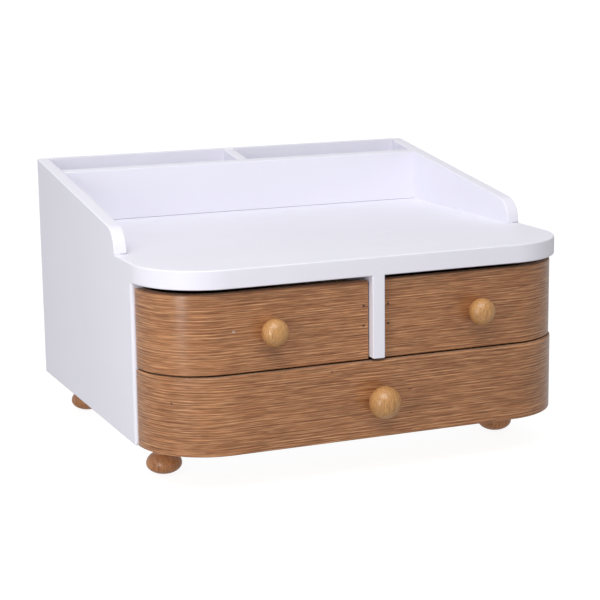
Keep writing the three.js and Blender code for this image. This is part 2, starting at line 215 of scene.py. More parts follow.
def new_piece(name, mesh, materials):
    """An object from a bmesh, shaded smooth except where its faces meet at an angle."""
    bmesh.ops.remove_doubles(mesh, verts=mesh.verts, dist=WELD)
    bmesh.ops.dissolve_degenerate(mesh, edges=mesh.edges, dist=WELD)
    bmesh.ops.recalc_face_normals(mesh, faces=mesh.faces)
    data = bpy.data.meshes.new(name)
    mesh.to_mesh(data)
    mesh.free()
    data.shade_smooth()
    data.set_sharp_from_angle(angle=SHARP_ANGLE)
    for material in materials:
        data.materials.append(material)
    piece = bpy.data.objects.new(name, data)
    bpy.context.scene.collection.objects.link(piece)
    return piece


def bore(piece, cutters):
    """Cuts the cutters out of the piece, and removes them."""
    for cutter in cutters:
        cut = piece.modifiers.new("bore", "BOOLEAN")
        cut.operation = "DIFFERENCE"
        cut.solver = "EXACT"
        cut.object = cutter
    depsgraph = bpy.context.evaluated_depsgraph_get()
    data = bpy.data.meshes.new_from_object(piece.evaluated_get(depsgraph))
    piece.modifiers.clear()
    piece.data = data
    for cutter in cutters:
        bpy.data.objects.remove(cutter)
    data.set_sharp_from_angle(angle=SHARP_ANGLE)


def even_normals(piece):
    """Flat faces keep their own direction, and the rounded edges turn between them."""
    normals = piece.modifiers.new("normals", "WEIGHTED_NORMAL")
    normals.keep_sharp = True


def prism(name, outline, low, high, materials, across=False, ease=BOX_EDGE, cutters=()):
    """A board. Its outline runs counterclockwise in XY and is raised along Z, or with across it
    runs counterclockwise in YZ and is carried along X. Ease is the radius of its edges, or a
    function of the place on the outline and of whether it's the face at the high end."""
    mesh = bmesh.new()
    radius_at = ease if callable(ease) else lambda point, at_high: ease
    mitres = [
        (point, (inward(coming) + inward(going)) / (1 + coming.dot(going)))
        for point, coming, going in corners_of(outline)
    ]
    rings = []
    for at_high, level, rise in ((False, low, 1), (True, high, -1)):
        steps = list(zip(*(quarter(radius_at(point, at_high)) for point, _ in mitres)))
        for step in steps[::rise]:
            ring = []
            for (point, mitre), (inset, shift) in zip(mitres, step):
                place = point + mitre * inset
                height = level + rise * shift
                ring.append(mesh.verts.new((height, *place) if across else (*place, height)))
            rings.append(ring)
    mesh.faces.new(rings[0][::-1])
    mesh.faces.new(rings[-1])
    for lower, upper in zip(rings, rings[1:]):
        for i, corner in enumerate(lower):
            mesh.faces.new((lower[i - 1], corner, upper[i], upper[i - 1]))
    piece = new_piece(name, mesh, materials)
    if cutters:
        bore(piece, cutters)
    even_normals(piece)
    return piece


def board(name, low, high, materials, **options):
    outline = [(low.x, low.y), (high.x, low.y), (high.x, high.y), (low.x, high.y)]
    return prism(name, softened(outline, BOX_EDGE), low.z, high.z, materials, **options)


def turned(name, profile, place, axis, materials, steps=TURNED_STEPS):
    """A turned piece. Its profile is a list of (radius, height) pairs that starts and ends on the
    axis, and heights count along the axis, which is a unit vector."""
    mesh = bmesh.new()
    rings = []
    for radius, height in profile:
        angles = [2 * math.pi * i / steps for i in range(steps if radius > 0 else 1)]
        ring = [(radius * math.cos(a), radius * math.sin(a), height) for a in angles]
        rings.append([mesh.verts.new(corner) for corner in ring])
    for lower, upper in zip(rings, rings[1:]):
        for i in range(steps):
            ends = ((lower, i), (lower, i + 1), (upper, i + 1), (upper, i))
            mesh.faces.new(dict.fromkeys(ring[j % len(ring)] for ring, j in ends))
    piece = new_piece(name, mesh, materials)
    turn = Vector((0, 0, 1)).rotation_difference(Vector(axis)).to_matrix().to_4x4()
    piece.data.transform(Matrix.Translation(place) @ turn)
    return piece


def swell(radius, half, middle, start, end, steps):
    """Part of an ellipse as a profile. Angles are in degrees, counted up from its widest place."""
    angles = [math.radians(start + (end - start) * i / steps) for i in range(steps + 1)]
    return [(radius * math.cos(a), middle + half * math.sin(a)) for a in angles]


# ---------------------------------------------------------------- materials


class Recipe:
    """A material's node tree, with short calls that add to it."""

    def __init__(self, name):
        self.material = bpy.data.materials.new(name)
        self.material.use_nodes = True
        self.tree = self.material.node_tree
        self.shader = self.tree.nodes["Principled BSDF"]

    def feed(self, socket, value):
        if isinstance(value, bpy.types.NodeSocket):
            self.tree.links.new(value, socket)
        else:
            socket.default_value = value

    def add(self, kind, inputs, **settings):
        node = self.tree.nodes.new(kind)
        for key, value in settings.items():
            setattr(node, key, value)
        for key, value in inputs.items():
            self.feed(node.inputs[key], value)
        return node

    def set(self, **values):
        for key, value in values.items():
            self.feed(self.shader.inputs[key.replace("_", " ")], value)
        return self.material

    def attribute(self, name):
        return self.add("ShaderNodeAttribute", {}, attribute_name=name).outputs["Vector"]

    def object_place(self):
        return self.add("ShaderNodeTexCoord", {}).outputs["Object"]

    def math(self, operation, first, second=0.0, third=0.0):
        node = self.add("ShaderNodeMath", {0: first, 1: second, 2: third}, operation=operation)
        return node.outputs[0]

    def scaled(self, vector, scale, offset=(0, 0, 0)):
        inputs = {"Vector": vector, "Scale": scale, "Location": offset}
        return self.add("ShaderNodeMapping", inputs).outputs["Vector"]

    def noise(self, vector, scale, detail=2.0, roughness=0.5, offset=(0, 0, 0)):
        """Noise with so many features to the metre along each direction."""
        inputs = {"Vector": self.scaled(vector, scale, offset), "Scale": 1.0, "Detail": detail}
        inputs["Roughness"] = roughness
        return self.add("ShaderNodeTexNoise", inputs).outputs[0]

    def ramp(self, factor, stops):
        node = self.add("ShaderNodeValToRGB", {"Fac": factor})
        ends = node.color_ramp.elements
        while len(ends) < len(stops):
            ends.new(0.5)
        for end, (place, colour) in zip(ends, stops):
            end.position = place
            end.color = (*colour, 1) if isinstance(colour, tuple) else (colour, colour, colour, 1)
        return node.outputs["Color"]

    def mix(self, factor, first, second, blend="MIX"):
        inputs = {0: factor, 6: first, 7: second}
        node = self.add("ShaderNodeMix", inputs, data_type="RGBA", blend_type=blend)
        return node.outputs[2]

    def bump(self, height, distance, normal=None, strength=1.0):
        inputs = {"Height": height, "Distance": distance, "Strength": strength}
        if normal is not None:
            inputs["Normal"] = normal
        return self.add("ShaderNodeBump", inputs).outputs["Normal"]


def painted(name):
    """White satin paint over fibreboard: a faint roller texture and slow changes of tone."""
    recipe = Recipe(name)
    place = recipe.object_place()
    tone = recipe.noise(place, (9, 9, 9), detail=3)
    colour = recipe.ramp(tone, [(0.3, (0.85, 0.84, 0.925)), (0.7, (0.87, 0.86, 0.945))])
    peel = recipe.noise(place, (420, 420, 420), detail=2)
    waves = recipe.noise(place, (35, 35, 35), detail=1)
    normal = recipe.bump(waves, 0.0004, strength=0.35)
    normal = recipe.bump(peel, 0.00006, normal=normal, strength=0.5)
    sheen = recipe.ramp(recipe.noise(place, (60, 60, 60)), [(0.3, 0.40), (0.7, 0.50)])
    return recipe.set(Base_Color=colour, Roughness=sheen, Normal=normal, IOR=1.45)


def wood(name, light, middle, dark, lines=380, length=9, wander=0.0025, relief=0.00007,
          gloss=0.4, shine=0.5, coat=0.25, marks=(), seed=0.0):
    """Lacquered wood whose grain runs along the first coordinate of the grain attribute. Lines is
    the number of year lines to the metre across it."""
    recipe = Recipe(name)
    place = recipe.attribute("grain")
    grain = recipe.scaled(place, (1, 1, 1), (seed, seed * 0.7, seed * 0.3))
    drift = recipe.noise(grain, (6, 20, 20), detail=2)
    shift = recipe.math("MULTIPLY_ADD", drift, wander, -wander / 2)
    bent = recipe.add("ShaderNodeCombineXYZ", {"X": 0.0, "Y": shift, "Z": shift}).outputs[0]
    grain = recipe.add("ShaderNodeVectorMath", {0: grain, 1: bent}, operation="ADD").outputs[0]
    years = recipe.noise(grain, (length, lines, lines), detail=3, roughness=0.6)
    fibres = recipe.noise(grain, (75, 1500, 1500), detail=2)
    pores = recipe.noise(grain, (75, 1100, 1100), detail=1, offset=(5, 3, 1))
    flecks = recipe.noise(grain, (60, 1000, 1000), detail=1, offset=(3, 1, 9))
    blotch = recipe.noise(grain, (14, 40, 40), detail=2, offset=(2, 7, 4))
    years = recipe.math("MULTIPLY_ADD", years, YEAR_SHARE, (1 - YEAR_SHARE) / 2)
    years = striped(recipe, grain, years, lines * 0.7, length, 1.0)
    years = striped(recipe, grain, years, lines, length, 4.0)
    colour = recipe.ramp(years, [(0.32, dark), (0.50, middle), (0.68, light)])
    tint = recipe.ramp(fibres, [(0.30, 0.30), (0.50, 0.50), (0.72, 0.72)])
    colour = recipe.mix(FIBRE_TINT, colour, tint, "OVERLAY")
    blotches = recipe.ramp(blotch, [(0.25, 0.3), (0.75, 0.7)])
    colour = recipe.mix(BLOTCH_TINT, colour, blotches, "OVERLAY")
    hollows = recipe.ramp(pores, [(0.60, 0.0), (0.70, 1.0)])
    colour = recipe.mix(recipe.math("MULTIPLY", hollows, PORE_TINT), colour, (*dark, 1))
    flecks = recipe.ramp(flecks, [(0.58, 0.0), (0.70, 0.5)])
    colour = recipe.mix(flecks, colour, (*light, 1))
    for mark in marks:
        colour = marked(recipe, colour, place, *mark)
    relief_map = recipe.math("MULTIPLY_ADD", years, YEAR_RELIEF, fibres)
    relief_map = recipe.math("MULTIPLY_ADD", hollows, -PORE_RELIEF, relief_map)
    normal = recipe.bump(relief_map, relief)
    rough = recipe.ramp(fibres, [(0.3, gloss + 0.08), (0.7, gloss - 0.06)])
    return recipe.set(Base_Color=colour, Roughness=rough, Normal=normal, Coat_Weight=coat,
                      Coat_Roughness=WOOD_COAT_ROUGHNESS, Specular_IOR_Level=shine)


def striped(recipe, grain, years, lines, length, seed):
    """Adds even lines to the year lines, which sway and come and go along the grain."""
    sway = recipe.noise(grain, (6, lines / 4, lines / 4), detail=1, offset=(seed, 8, 2))
    across = recipe.add("ShaderNodeSeparateXYZ", {0: grain}).outputs["Y"]
    sway = recipe.math("MULTIPLY", sway, SWAY_TURNS)
    turns = recipe.math("MULTIPLY_ADD", across, lines * 2 * math.pi, sway)
    strength = recipe.noise(grain, (length, lines, lines), offset=(4, seed, 4))
    strength = recipe.ramp(strength, [(0.35, 0.01), (0.65, 0.10)])
    return recipe.math("MULTIPLY_ADD", recipe.math("SINE", turns), strength, years)


def marked(recipe, colour, place, along, height, length, width, tone):
    """The colour with a small oval mark at a place along the front and up it."""
    scale = (2 / length, 2 / width, 0)
    offset = (-along * scale[0], -height * scale[1], 0)
    from_middle = recipe.scaled(place, scale, offset)
    reach = recipe.add("ShaderNodeVectorMath", {0: from_middle}, operation="LENGTH")
    amount = recipe.ramp(reach.outputs["Value"], [(0.55, 0.85), (1.0, 0.0)])
    return recipe.mix(amount, colour, (*tone, 1))


def steel(name, colour, roughness):
    recipe = Recipe(name)
    place = recipe.object_place()
    lines = recipe.noise(place, (900, 900, 2600), detail=2)
    shade = recipe.mix(lines, (*(0.8 * c for c in colour), 1), (*colour, 1))
    rough = recipe.ramp(lines, [(0.3, roughness - 0.06), (0.7, roughness + 0.1)])
    normal = recipe.bump(lines, 0.00002)
    return recipe.set(Base_Color=shade, Metallic=1.0, Roughness=rough, Normal=normal)


def plies(name, light, dark, layer=0.0013):
    """The edge of bent plywood: its layers follow the depth, the grain's third coordinate."""
    recipe = Recipe(name)
    grain = recipe.attribute("grain")
    depth = recipe.add("ShaderNodeSeparateXYZ", {0: grain}).outputs["Z"]
    layers = recipe.math("PINGPONG", depth, layer)
    layers = recipe.math("DIVIDE", layers, layer)
    grit = recipe.noise(grain, (300, 900, 1800), detail=2)
    colour = recipe.mix(recipe.ramp(layers, [(0.35, 0.0), (0.65, 1.0)]), (*light, 1), (*dark, 1))
    colour = recipe.mix(0.5, colour, recipe.ramp(grit, [(0.3, 0.3), (0.7, 0.7)]), "OVERLAY")
    return recipe.set(Base_Color=colour, Roughness=0.55, Normal=recipe.bump(grit, 0.00006))


WHITE = painted("white_paint")
VENEER = {
    "light": (0.585, 0.306, 0.147),
    "middle": (0.355, 0.151, 0.060),
    "dark": (0.207, 0.066, 0.022),
    "lines": 640,
    "length": 34,
    "wander": 0.0008,
    "relief": 0.00010,
    "coat": 1.0,
    "shine": 0.1,
}
BARE = {"coat": 0.0, "gloss": 0.6}
TURNED = {"lines": 330, "length": 25, "relief": 0.00001, "coat": 0.4}
DENT = (0.50, 0.40, 0.34)
STAIN = (0.10, 0.035, 0.018)

# Marks in each drawer's veneer: x, z, length, width and tone. Measured in the photograph
MARKS = {
    "upper_left_drawer": [(-0.1109, 0.119, 0.0035, 0.002, DENT)],
    "upper_right_drawer": [],
    "lower_drawer": [
        (-0.0374, 0.0832, 0.0022, 0.0018, STAIN),
        (-0.1591, 0.0688, 0.0022, 0.0018, STAIN),
        (0.0254, 0.0636, 0.0045, 0.0009, STAIN),
        (0.0267, 0.0456, 0.0045, 0.0009, STAIN),
    ],
}
VENEERS = {
    drawer: wood(f"{drawer}_veneer", **VENEER, marks=marks, seed=0.31 + 1.4 * i)
    for i, (drawer, marks) in enumerate(MARKS.items())
}
LINING = wood("front_lining", (0.60, 0.44, 0.28), (0.52, 0.36, 0.21), (0.42, 0.27, 0.14),
              lines=240, seed=0.9, **BARE)
PLY_EDGE = plies("front_edge", (0.50, 0.31, 0.20), (0.34, 0.18, 0.10))
PALE = wood("drawer_wood", (0.72, 0.57, 0.37), (0.66, 0.50, 0.30), (0.54, 0.37, 0.19),
            lines=260, seed=2.2, **BARE)
KNOB_WOOD = wood("knob_wood", (0.54, 0.285, 0.105), (0.51, 0.255, 0.087), (0.46, 0.22, 0.072),
                 gloss=0.34, seed=0.2, **TURNED)
# The feet's wood is the knobs' wood made darker and redder: painted shade for the shade the feet
# stand in under the case.
SHADED_FOOT_WOOD = wood("foot_wood", (0.54, 0.235, 0.092), (0.48, 0.195, 0.070), (0.40, 0.15, 0.052),
                 gloss=0.36, seed=0.6, **TURNED)
STEEL = steel("screw_steel", (0.62, 0.62, 0.63), 0.3)
DARK_STEEL = steel("brad_steel", (0.16, 0.10, 0.07), 0.5)


# ---------------------------------------------------------------- finishing pieces


def lay_grain(piece, grain):
    """Writes the grain's coordinates at each vertex: along it, across it and into the wood."""
    attribute = piece.data.attributes.new("grain", "FLOAT_VECTOR", "POINT")
    for vertex, item in zip(piece.data.vertices, attribute.data):
        item.vector = grain(vertex.co)


def along_x(place):
    return place.x, place.z, place.y


def along_y(place):
    return place.y, place.z, place.x


def upright(place):
    return place.z, place.x, place.y


def hand_in(piece, node, grain=None):
    """The piece stands for the node and rides on the node's body."""
    if grain:
        lay_grain(piece, grain)
    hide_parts(node)
    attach(piece, BODY_OF[node])


# ---------------------------------------------------------------- the case

TOP_LOW, TOP_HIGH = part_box("top_board")
PANEL_LOW, PANEL_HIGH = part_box("left_side_panel")
CASE_FRONT = TOP_LOW.y
CASE_BACK = PANEL_HIGH.y
INNER = -PANEL_HIGH.x
OUTER = -PANEL_LOW.x
UPRIGHT_FRONT = CASE_FRONT + UPRIGHT_SETBACK
BACK_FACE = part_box("back_panel")[0].y


def slope_at(y):
    """Height of the sloped edge that the sides, the partition and the divider share."""
    return PANEL_HIGH.z - (CASE_BACK - y) * math.tan(SLOPE)


def make_side_panel(node):
    """Seen from the side: back edge, slope, rounded upright, then down past the tray to the
    front edge, whose outer side is well rounded. Beside the top board it isn't rounded, and it
    fills the board's own rounding, so that the two run into each other."""
    low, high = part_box(node)
    outer_is_low = low.x < 0
    ledge = TOP_LOW.z + BOARD_EDGE
    arc_y = UPRIGHT_FRONT + UPRIGHT_RADIUS
    arc_z = slope_at(arc_y) - UPRIGHT_RADIUS / math.cos(SLOPE)
    outline = [
        (high.y, low.z),
        (high.y, high.z),
        *arc(arc_y, arc_z, UPRIGHT_RADIUS, 90 + math.degrees(SLOPE), 180),
        (UPRIGHT_FRONT, TOP_HIGH.z + BOARD_EDGE),
        (UPRIGHT_FRONT, TOP_HIGH.z),
        (UPRIGHT_FRONT, ledge),
        (low.y, ledge),
        (low.y, TOP_LOW.z),
        (low.y, low.z + PANEL_FRONT_EDGE * 1.5),
        (low.y, low.z),
    ]

    def at_foot_or_back(point):
        return point.y < low.z + FIT or point.x > high.y - FIT

    def ease(point, at_high):
        y, z = point
        if ledge - FIT < z < TOP_HIGH.z + FIT and y < UPRIGHT_FRONT + FIT:
            return 0
        at_front = y < low.y + FIT and z > low.z + PANEL_FRONT_EDGE
        return PANEL_FRONT_EDGE if at_front and at_high != outer_is_low else BOARD_EDGE

    outline = softened(outline, BOARD_EDGE, at_foot_or_back)
    piece = prism(f"{node}_fine", outline, low.x, high.x, [WHITE], across=True, ease=ease)
    hand_in(piece, node)


def make_top_board():
    """Rounded at both front corners and notched round the uprights. Only a hair of the edges'
    rounding is left inside the joints."""
    right = [
        *arc(OUTER - CORNER_RADIUS, CASE_FRONT + CORNER_RADIUS, CORNER_RADIUS, -90, 0),
        (OUTER, UPRIGHT_FRONT - BOARD_EDGE),
        (OUTER, UPRIGHT_FRONT),
        (INNER, UPRIGHT_FRONT),
        (INNER, BACK_FACE),
    ]
    outline = right + [(-x, y) for x, y in right[::-1]]

    def ease(point, _):
        return BOARD_EDGE if point.y < UPRIGHT_FRONT - FIT else HAIR_EDGE

    piece = prism("top_board_fine", outline, TOP_LOW.z, TOP_HIGH.z, [WHITE], ease=ease)
    hand_in(piece, "top_board")


def make_partition():
    """It stands on the tray and is cut off along the slope."""
    low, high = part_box("rear_partition")
    outline = [
        (low.y, low.z),
        (high.y, low.z),
        (high.y, slope_at(high.y)),
        (low.y, slope_at(low.y)),
    ]
    outline = softened(outline, BOARD_EDGE, lambda point: point.y > low.z + FIT)
    piece = prism("rear_partition_fine", outline, -INNER, INNER, [WHITE], across=True, ease=0)
    hand_in(piece, "rear_partition")


def make_compartment_divider():
    """It runs back from the partition, and its long top edges are rounded."""
    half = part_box("compartment_divider")[1].x
    front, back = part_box("rear_partition")[1].y, BACK_FACE
    outline = [
        (front, TOP_HIGH.z),
        (back, TOP_HIGH.z),
        (back, slope_at(back)),
        (front, slope_at(front)),
    ]

    def ease(point, _):
        return BOARD_EDGE if point.y > TOP_HIGH.z + FIT else 0

    piece = prism("compartment_divider_fine", outline, -half, half, [WHITE], across=True, ease=ease)
    hand_in(piece, "compartment_divider")


def make_drawer_divider():
    """Its front edge is flush with the top board's and fills the board's rounding there. Its
    foot drops between the fronts."""
    low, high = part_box("drawer_divider")
    shelf_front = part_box("middle_shelf")[0].y
    shelf_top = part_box("middle_shelf")[1].z
    outline = [
        (low.y, low.z),
        (shelf_front, low.z),
        (shelf_front, shelf_top),
        (BACK_FACE, shelf_top),
        (BACK_FACE, TOP_LOW.z),
        (low.y + BOARD_EDGE * 2, TOP_LOW.z),
        (low.y + BOARD_EDGE * 2, TOP_LOW.z + BOARD_EDGE),
        (low.y, TOP_LOW.z + BOARD_EDGE),
    ]

    def ease(point, _):
        y, z = point
        return BOARD_EDGE if y < low.y + FIT or z < shelf_top - FIT else 0

    piece = prism("drawer_divider_fine", outline, low.x, high.x, [WHITE], across=True, ease=ease)
    hand_in(piece, "drawer_divider")


def make_inner_board(node, cutters=()):
    """A shelf, from side to side and back to the back panel, or the back panel itself."""
    low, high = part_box(node)
    back = high.y if node == "back_panel" else BACK_FACE
    start, end = Vector((-INNER, low.y, low.z)), Vector((INNER, back, high.z))
    piece = board(f"{node}_fine", start, end, [WHITE], cutters=cutters)
    hand_in(piece, node)


FOOT_NAMES = ["front_left_foot", "front_right_foot", "rear_left_foot", "rear_right_foot"]


def foot_screw_profile(node, extra=0.0):
    """Countersunk, from its point to the top of its head; with extra, the hole for it."""
    low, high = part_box(node)
    length = high.z - low.z
    return [
        (0, -extra),
        (SCREW_TIP + extra, extra),
        (SCREW_RADIUS + extra, FOOT_SCREW_POINT),
        (SCREW_RADIUS + extra, length - SCREW_HEAD),
        (SCREW_HEAD + extra, length - FOOT_SCREW_RIM),
        (SCREW_HEAD + extra, length + extra),
        (0, length + extra),
    ]


def cross_cutters(place, axis):
    """The two tapered wings of a cross recess, cut down from the top of a screw's head."""
    turn = Vector((0, 0, 1)).rotation_difference(Vector(axis)).to_matrix().to_4x4()
    cutters = []
    for angle in (0, 90):
        mesh = bmesh.new()
        bmesh.ops.create_cube(mesh, size=1)
        for vertex in mesh.verts:
            x, y, z = vertex.co
            taper = 1 if z > 0 else RECESS_TAPER
            vertex.co = (x * RECESS_WIDTH * taper, y * RECESS_WING * taper, z * RECESS_DEPTH)
        wing = new_piece("wing", mesh, [])
        spin = Matrix.Rotation(math.radians(angle), 4, "Z")
        wing.data.transform(Matrix.Translation(place) @ turn @ spin)
        cutters.append(wing)
    return cutters


def make_screw(node, profile, place, axis):
    """A turned screw with a cross recess in its head, whose top is the profile's last height."""
    head = Vector(place) + Vector(axis) * profile[-1][1]
    piece = turned(f"{node}_fine", profile, place, axis, [STEEL], steps=SCREW_STEPS)
    bore(piece, cross_cutters(head, axis))
    hand_in(piece, node)


def make_foot(node):
    """A turned bun on a short neck and collar."""
    low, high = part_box(node)
    middle = (low + high) / 2
    radius = (high.x - low.x) / 2
    height = PANEL_LOW.z - low.z
    profile = [
        (0, 0),
        *swell(radius, BUN_UNDER, BUN_MIDDLE, *BUN_UNDER_ANGLES, BUN_STEPS),
        *swell(radius, BUN_OVER, BUN_MIDDLE, *BUN_OVER_ANGLES, BUN_STEPS),
        *FOOT_NECK,
        (FOOT_COLLAR, height),
        (0, height),
    ]
    piece = turned(f"{node}_fine", profile, (middle.x, middle.y, low.z), (0, 0, 1), [SHADED_FOOT_WOOD])
    hand_in(piece, node, grain=upright)


def make_case():
    for node in ("left_side_panel", "right_side_panel"):
        make_side_panel(node)
    make_top_board()
    make_partition()
    make_compartment_divider()
    make_drawer_divider()
    make_inner_board("back_panel")
    make_inner_board("middle_shelf")
    holes = []
    for foot in FOOT_NAMES:
        make_foot(foot)
        node = f"{foot}_screw"
        low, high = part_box(node)
        middle = (low + high) / 2
        place = (middle.x, middle.y, low.z)
        make_screw(node, foot_screw_profile(node), place, (0, 0, 1))
        hole = turned("hole", foot_screw_profile(node, FIT), place, (0, 0, 1), [], SCREW_STEPS)
        holes.append(hole)
    make_inner_board("bottom_board", cutters=holes)


# ---------------------------------------------------------------- the drawers


class Front:
    """A drawer front's bent shape. A place on it is a distance along its outer face, the same
    as X on the flat part, and a depth into the wood."""

    def __init__(self, node, bent_left, bent_right):
        self.low, self.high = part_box(node)
        self.radius = self.high.y - self.low.y
        self.axis = self.high.y
        self.left = self.low.x + self.radius if bent_left else -math.inf
        self.right = self.high.x - self.radius if bent_right else math.inf

    def at(self, along, depth):
        reach = self.radius - depth
        if along < self.left:
            angle = (self.left - along) / self.radius
            return self.left - reach * math.sin(angle), self.axis - reach * math.cos(angle)
        if along > self.right:
            angle = (along - self.right) / self.radius
            return self.right + reach * math.sin(angle), self.axis - reach * math.cos(angle)
        return along, self.low.y + depth

    def grain(self, place):
        """Along the front, up it and into it."""
        for end, side in ((self.left, -1), (self.right, 1)):
            beyond = (place.x - end) * side
            if beyond > 0:
                back = self.axis - place.y
                angle = math.atan2(beyond, back)
                depth = self.radius - math.hypot(beyond, back)
                return end + side * self.radius * angle, place.z, depth
        return place.x, place.z, place.y - self.low.y

    def stations(self):
        """Places from its left end to its right end, each with how far the section is drawn in
        there: the ends are rounded like the other edges."""
        start = self.left - self.radius * math.pi / 2 if self.left > -math.inf else self.low.x
        end = self.right + self.radius * math.pi / 2 if self.right < math.inf else self.high.x
        rims = list(quarter(FRONT_EDGE))
        bends = [place for place in self.bends() if start + FRONT_EDGE < place < end - FRONT_EDGE]
        return (
            [(start + shift, inset) for inset, shift in rims]
            + [(place, 0) for place in bends]
            + [(end - shift, inset) for inset, shift in rims[::-1]]
        )

    def bends(self):
        for i in range(ARC_STEPS + 1):
            yield self.left - self.radius * math.pi / 2 * (1 - i / ARC_STEPS)
        for i in range(ARC_STEPS + 1):
            yield self.right + self.radius * math.pi / 2 * i / ARC_STEPS

    def section(self, inset):
        """Depths and heights round its section, from the outer top edge over the top."""
        corners = (
            (FRONT_EDGE, self.high.z - FRONT_EDGE, 180),
            (FRONT_THICKNESS - FRONT_EDGE, self.high.z - FRONT_EDGE, 90),
            (FRONT_THICKNESS - FRONT_EDGE, self.low.z + FRONT_EDGE, 0),
            (FRONT_EDGE, self.low.z + FRONT_EDGE, -90),
        )
        points = []
        for depth, height, angle in corners:
            points += arc(depth, height, FRONT_EDGE - inset, angle, angle - 90, EDGE_STEPS)
        return points


def make_front(drawer, bent_left, bent_right, cutters):
    """Veneered on its outer face, with the plywood's layers on its edges."""
    node = f"{drawer}_front"
    front = Front(node, bent_left, bent_right)
    mesh = bmesh.new()
    columns = []
    for along, inset in front.stations():
        section = [(*front.at(along, depth), height) for depth, height in front.section(inset)]
        columns.append([mesh.verts.new(corner) for corner in section])
    corner = EDGE_STEPS + 1
    veneered, lined, layered = 0, 1, 2
    looks = [veneered] * EDGE_STEPS + [layered] * corner + [lined] + [layered] * corner
    looks += [veneered] * (len(columns[0]) - len(looks))
    for left, right in zip(columns, columns[1:]):
        for i, look in enumerate(looks):
            j = (i + 1) % len(looks)
            mesh.faces.new((left[i], right[i], right[j], left[j])).material_index = look
    for end in (columns[0], columns[-1]):
        mesh.faces.new(end).material_index = layered
    piece = new_piece(f"{node}_fine", mesh, [VENEERS[drawer], LINING, PLY_EDGE])
    if cutters:
        bore(piece, cutters)
    even_normals(piece)
    hand_in(piece, node, grain=front.grain)
    return front


def make_knob(drawer, kind):
    node = f"{drawer}_knob"
    low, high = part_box(node)
    middle = (low + high) / 2
    radius = (high.x - low.x) / 2
    neck, standoff = KNOB_NECKS[kind], KNOB_STANDOFFS[kind]
    half = high.y - low.y - standoff
    start = -math.degrees(math.acos(neck / radius))
    profile = [
        (0, 0),
        (neck + KNOB_FLARE, 0),
        (neck + KNOB_FLARE / 3, KNOB_FLARE * 2),
        *swell(radius, half, standoff, start + 2, 90, KNOB_STEPS)[:-1],
        (0, standoff + half),
    ]
    place = (middle.x, high.y + FIT, middle.z)
    piece = turned(f"{node}_fine", profile, place, (0, -1, 0), [KNOB_WOOD])
    hand_in(piece, node, grain=upright)


def knob_screw_profile(length):
    """Round head, from its point to the top of its head."""
    shank = length - KNOB_SCREW_HEAD_LENGTH
    widest = length - KNOB_SCREW_DOME
    return [
        (0, 0),
        (SCREW_TIP, SCREW_BLUNT),
        (SCREW_RADIUS, KNOB_SCREW_POINT),
        (SCREW_RADIUS, shank),
        *swell(SCREW_HEAD, KNOB_SCREW_DOME, widest, *KNOB_SCREW_DOME_ANGLES, SCREW_DOME_STEPS),
        (0, length),
    ]


def make_knob_screw(drawer):
    node = f"{drawer}_knob_screw"
    low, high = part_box(node)
    middle = (low + high) / 2
    place = (middle.x, low.y, middle.z)
    make_screw(node, knob_screw_profile(high.y - low.y), place, (0, 1, 0))


def brad_profile(length, extra=0.0):
    """Small head, from its point to the top of its head; with extra, the hole for it, which
    runs on out of the face that the head is sunk in."""
    top = length + BRAD_SINK * 2 if extra else length
    return [
        (0, -extra),
        (BRAD_RADIUS + extra, BRAD_POINT),
        (BRAD_RADIUS + extra, length - BRAD_HEAD_LENGTH),
        (BRAD_HEAD + extra, length - BRAD_HEAD_LENGTH),
        (BRAD_HEAD + extra, top),
        (0, top),
    ]


def brad_places(drawer):
    for node in (f"{drawer}_lower_brad", f"{drawer}_upper_brad"):
        low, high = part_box(node)
        middle = (low + high) / 2
        yield node, (middle.x, high.y, middle.z), high.y - low.y


def make_brads(drawer):
    """The upper drawers' brads. Returns the cutters for their holes."""
    outward = (0, -1, 0)
    holes = []
    for node, place, length in brad_places(drawer):
        profile = brad_profile(length)
        piece = turned(f"{node}_fine", profile, place, outward, [DARK_STEEL], SCREW_STEPS)
        hand_in(piece, node)
        profile = brad_profile(length, BRAD_FIT)
        holes.append(turned("hole", profile, place, outward, [], SCREW_STEPS))
    return holes


def make_wall(node, grain):
    low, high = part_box(node)
    piece = board(f"{node}_fine", low, high, [PALE])
    hand_in(piece, node, grain=grain)


def flipped(outline, side):
    """An outline drawn for a drawer's left end, or its mirror image for its right end."""
    return outline if side < 0 else [(-x, y) for x, y in outline][::-1]


def make_corner_block(node, front, side, wall):
    """It backs the bend, from the side wall's front end to the flat part of the front."""
    low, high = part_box(node)
    radius = front.radius - FRONT_THICKNESS - FIT
    arc_x = front.left if side < 0 else -front.right
    wall_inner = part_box(wall)[1].x if side < 0 else -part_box(wall)[0].x
    start = 180 + math.degrees(math.asin(BLOCK_LAP / radius))
    outline = [
        *arc(arc_x, front.axis, radius, start, 270),
        (arc_x, front.axis - radius + BLOCK_NECK),
        (wall_inner, front.axis - BLOCK_LAP),
    ]
    piece = prism(f"{node}_fine", flipped(outline, side), low.z, high.z, [PALE])
    hand_in(piece, node, grain=along_x)


def make_box_bottom(drawer, front):
    """A thin panel between the walls that follows the bends."""
    node = f"{drawer}_bottom"
    low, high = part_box(node)
    radius = front.radius - FRONT_THICKNESS - FIT
    face = front.axis - radius
    outline = [(low.x, face)]
    if front.left > -math.inf:
        reach = math.degrees(math.acos((front.left - low.x) / radius))
        outline = arc(front.left, front.axis, radius, 180 + reach, 270)
    if front.right < math.inf:
        reach = math.degrees(math.acos((high.x - front.right) / radius))
        outline += arc(front.right, front.axis, radius, 270, 360 - reach)
    else:
        outline += [(high.x, face)]
    outline += [(high.x, high.y), (low.x, high.y)]
    piece = prism(f"{node}_fine", outline, low.z, high.z, [PALE], ease=THIN_EDGE)
    hand_in(piece, node, grain=lambda place: (place.y, place.x, place.z))


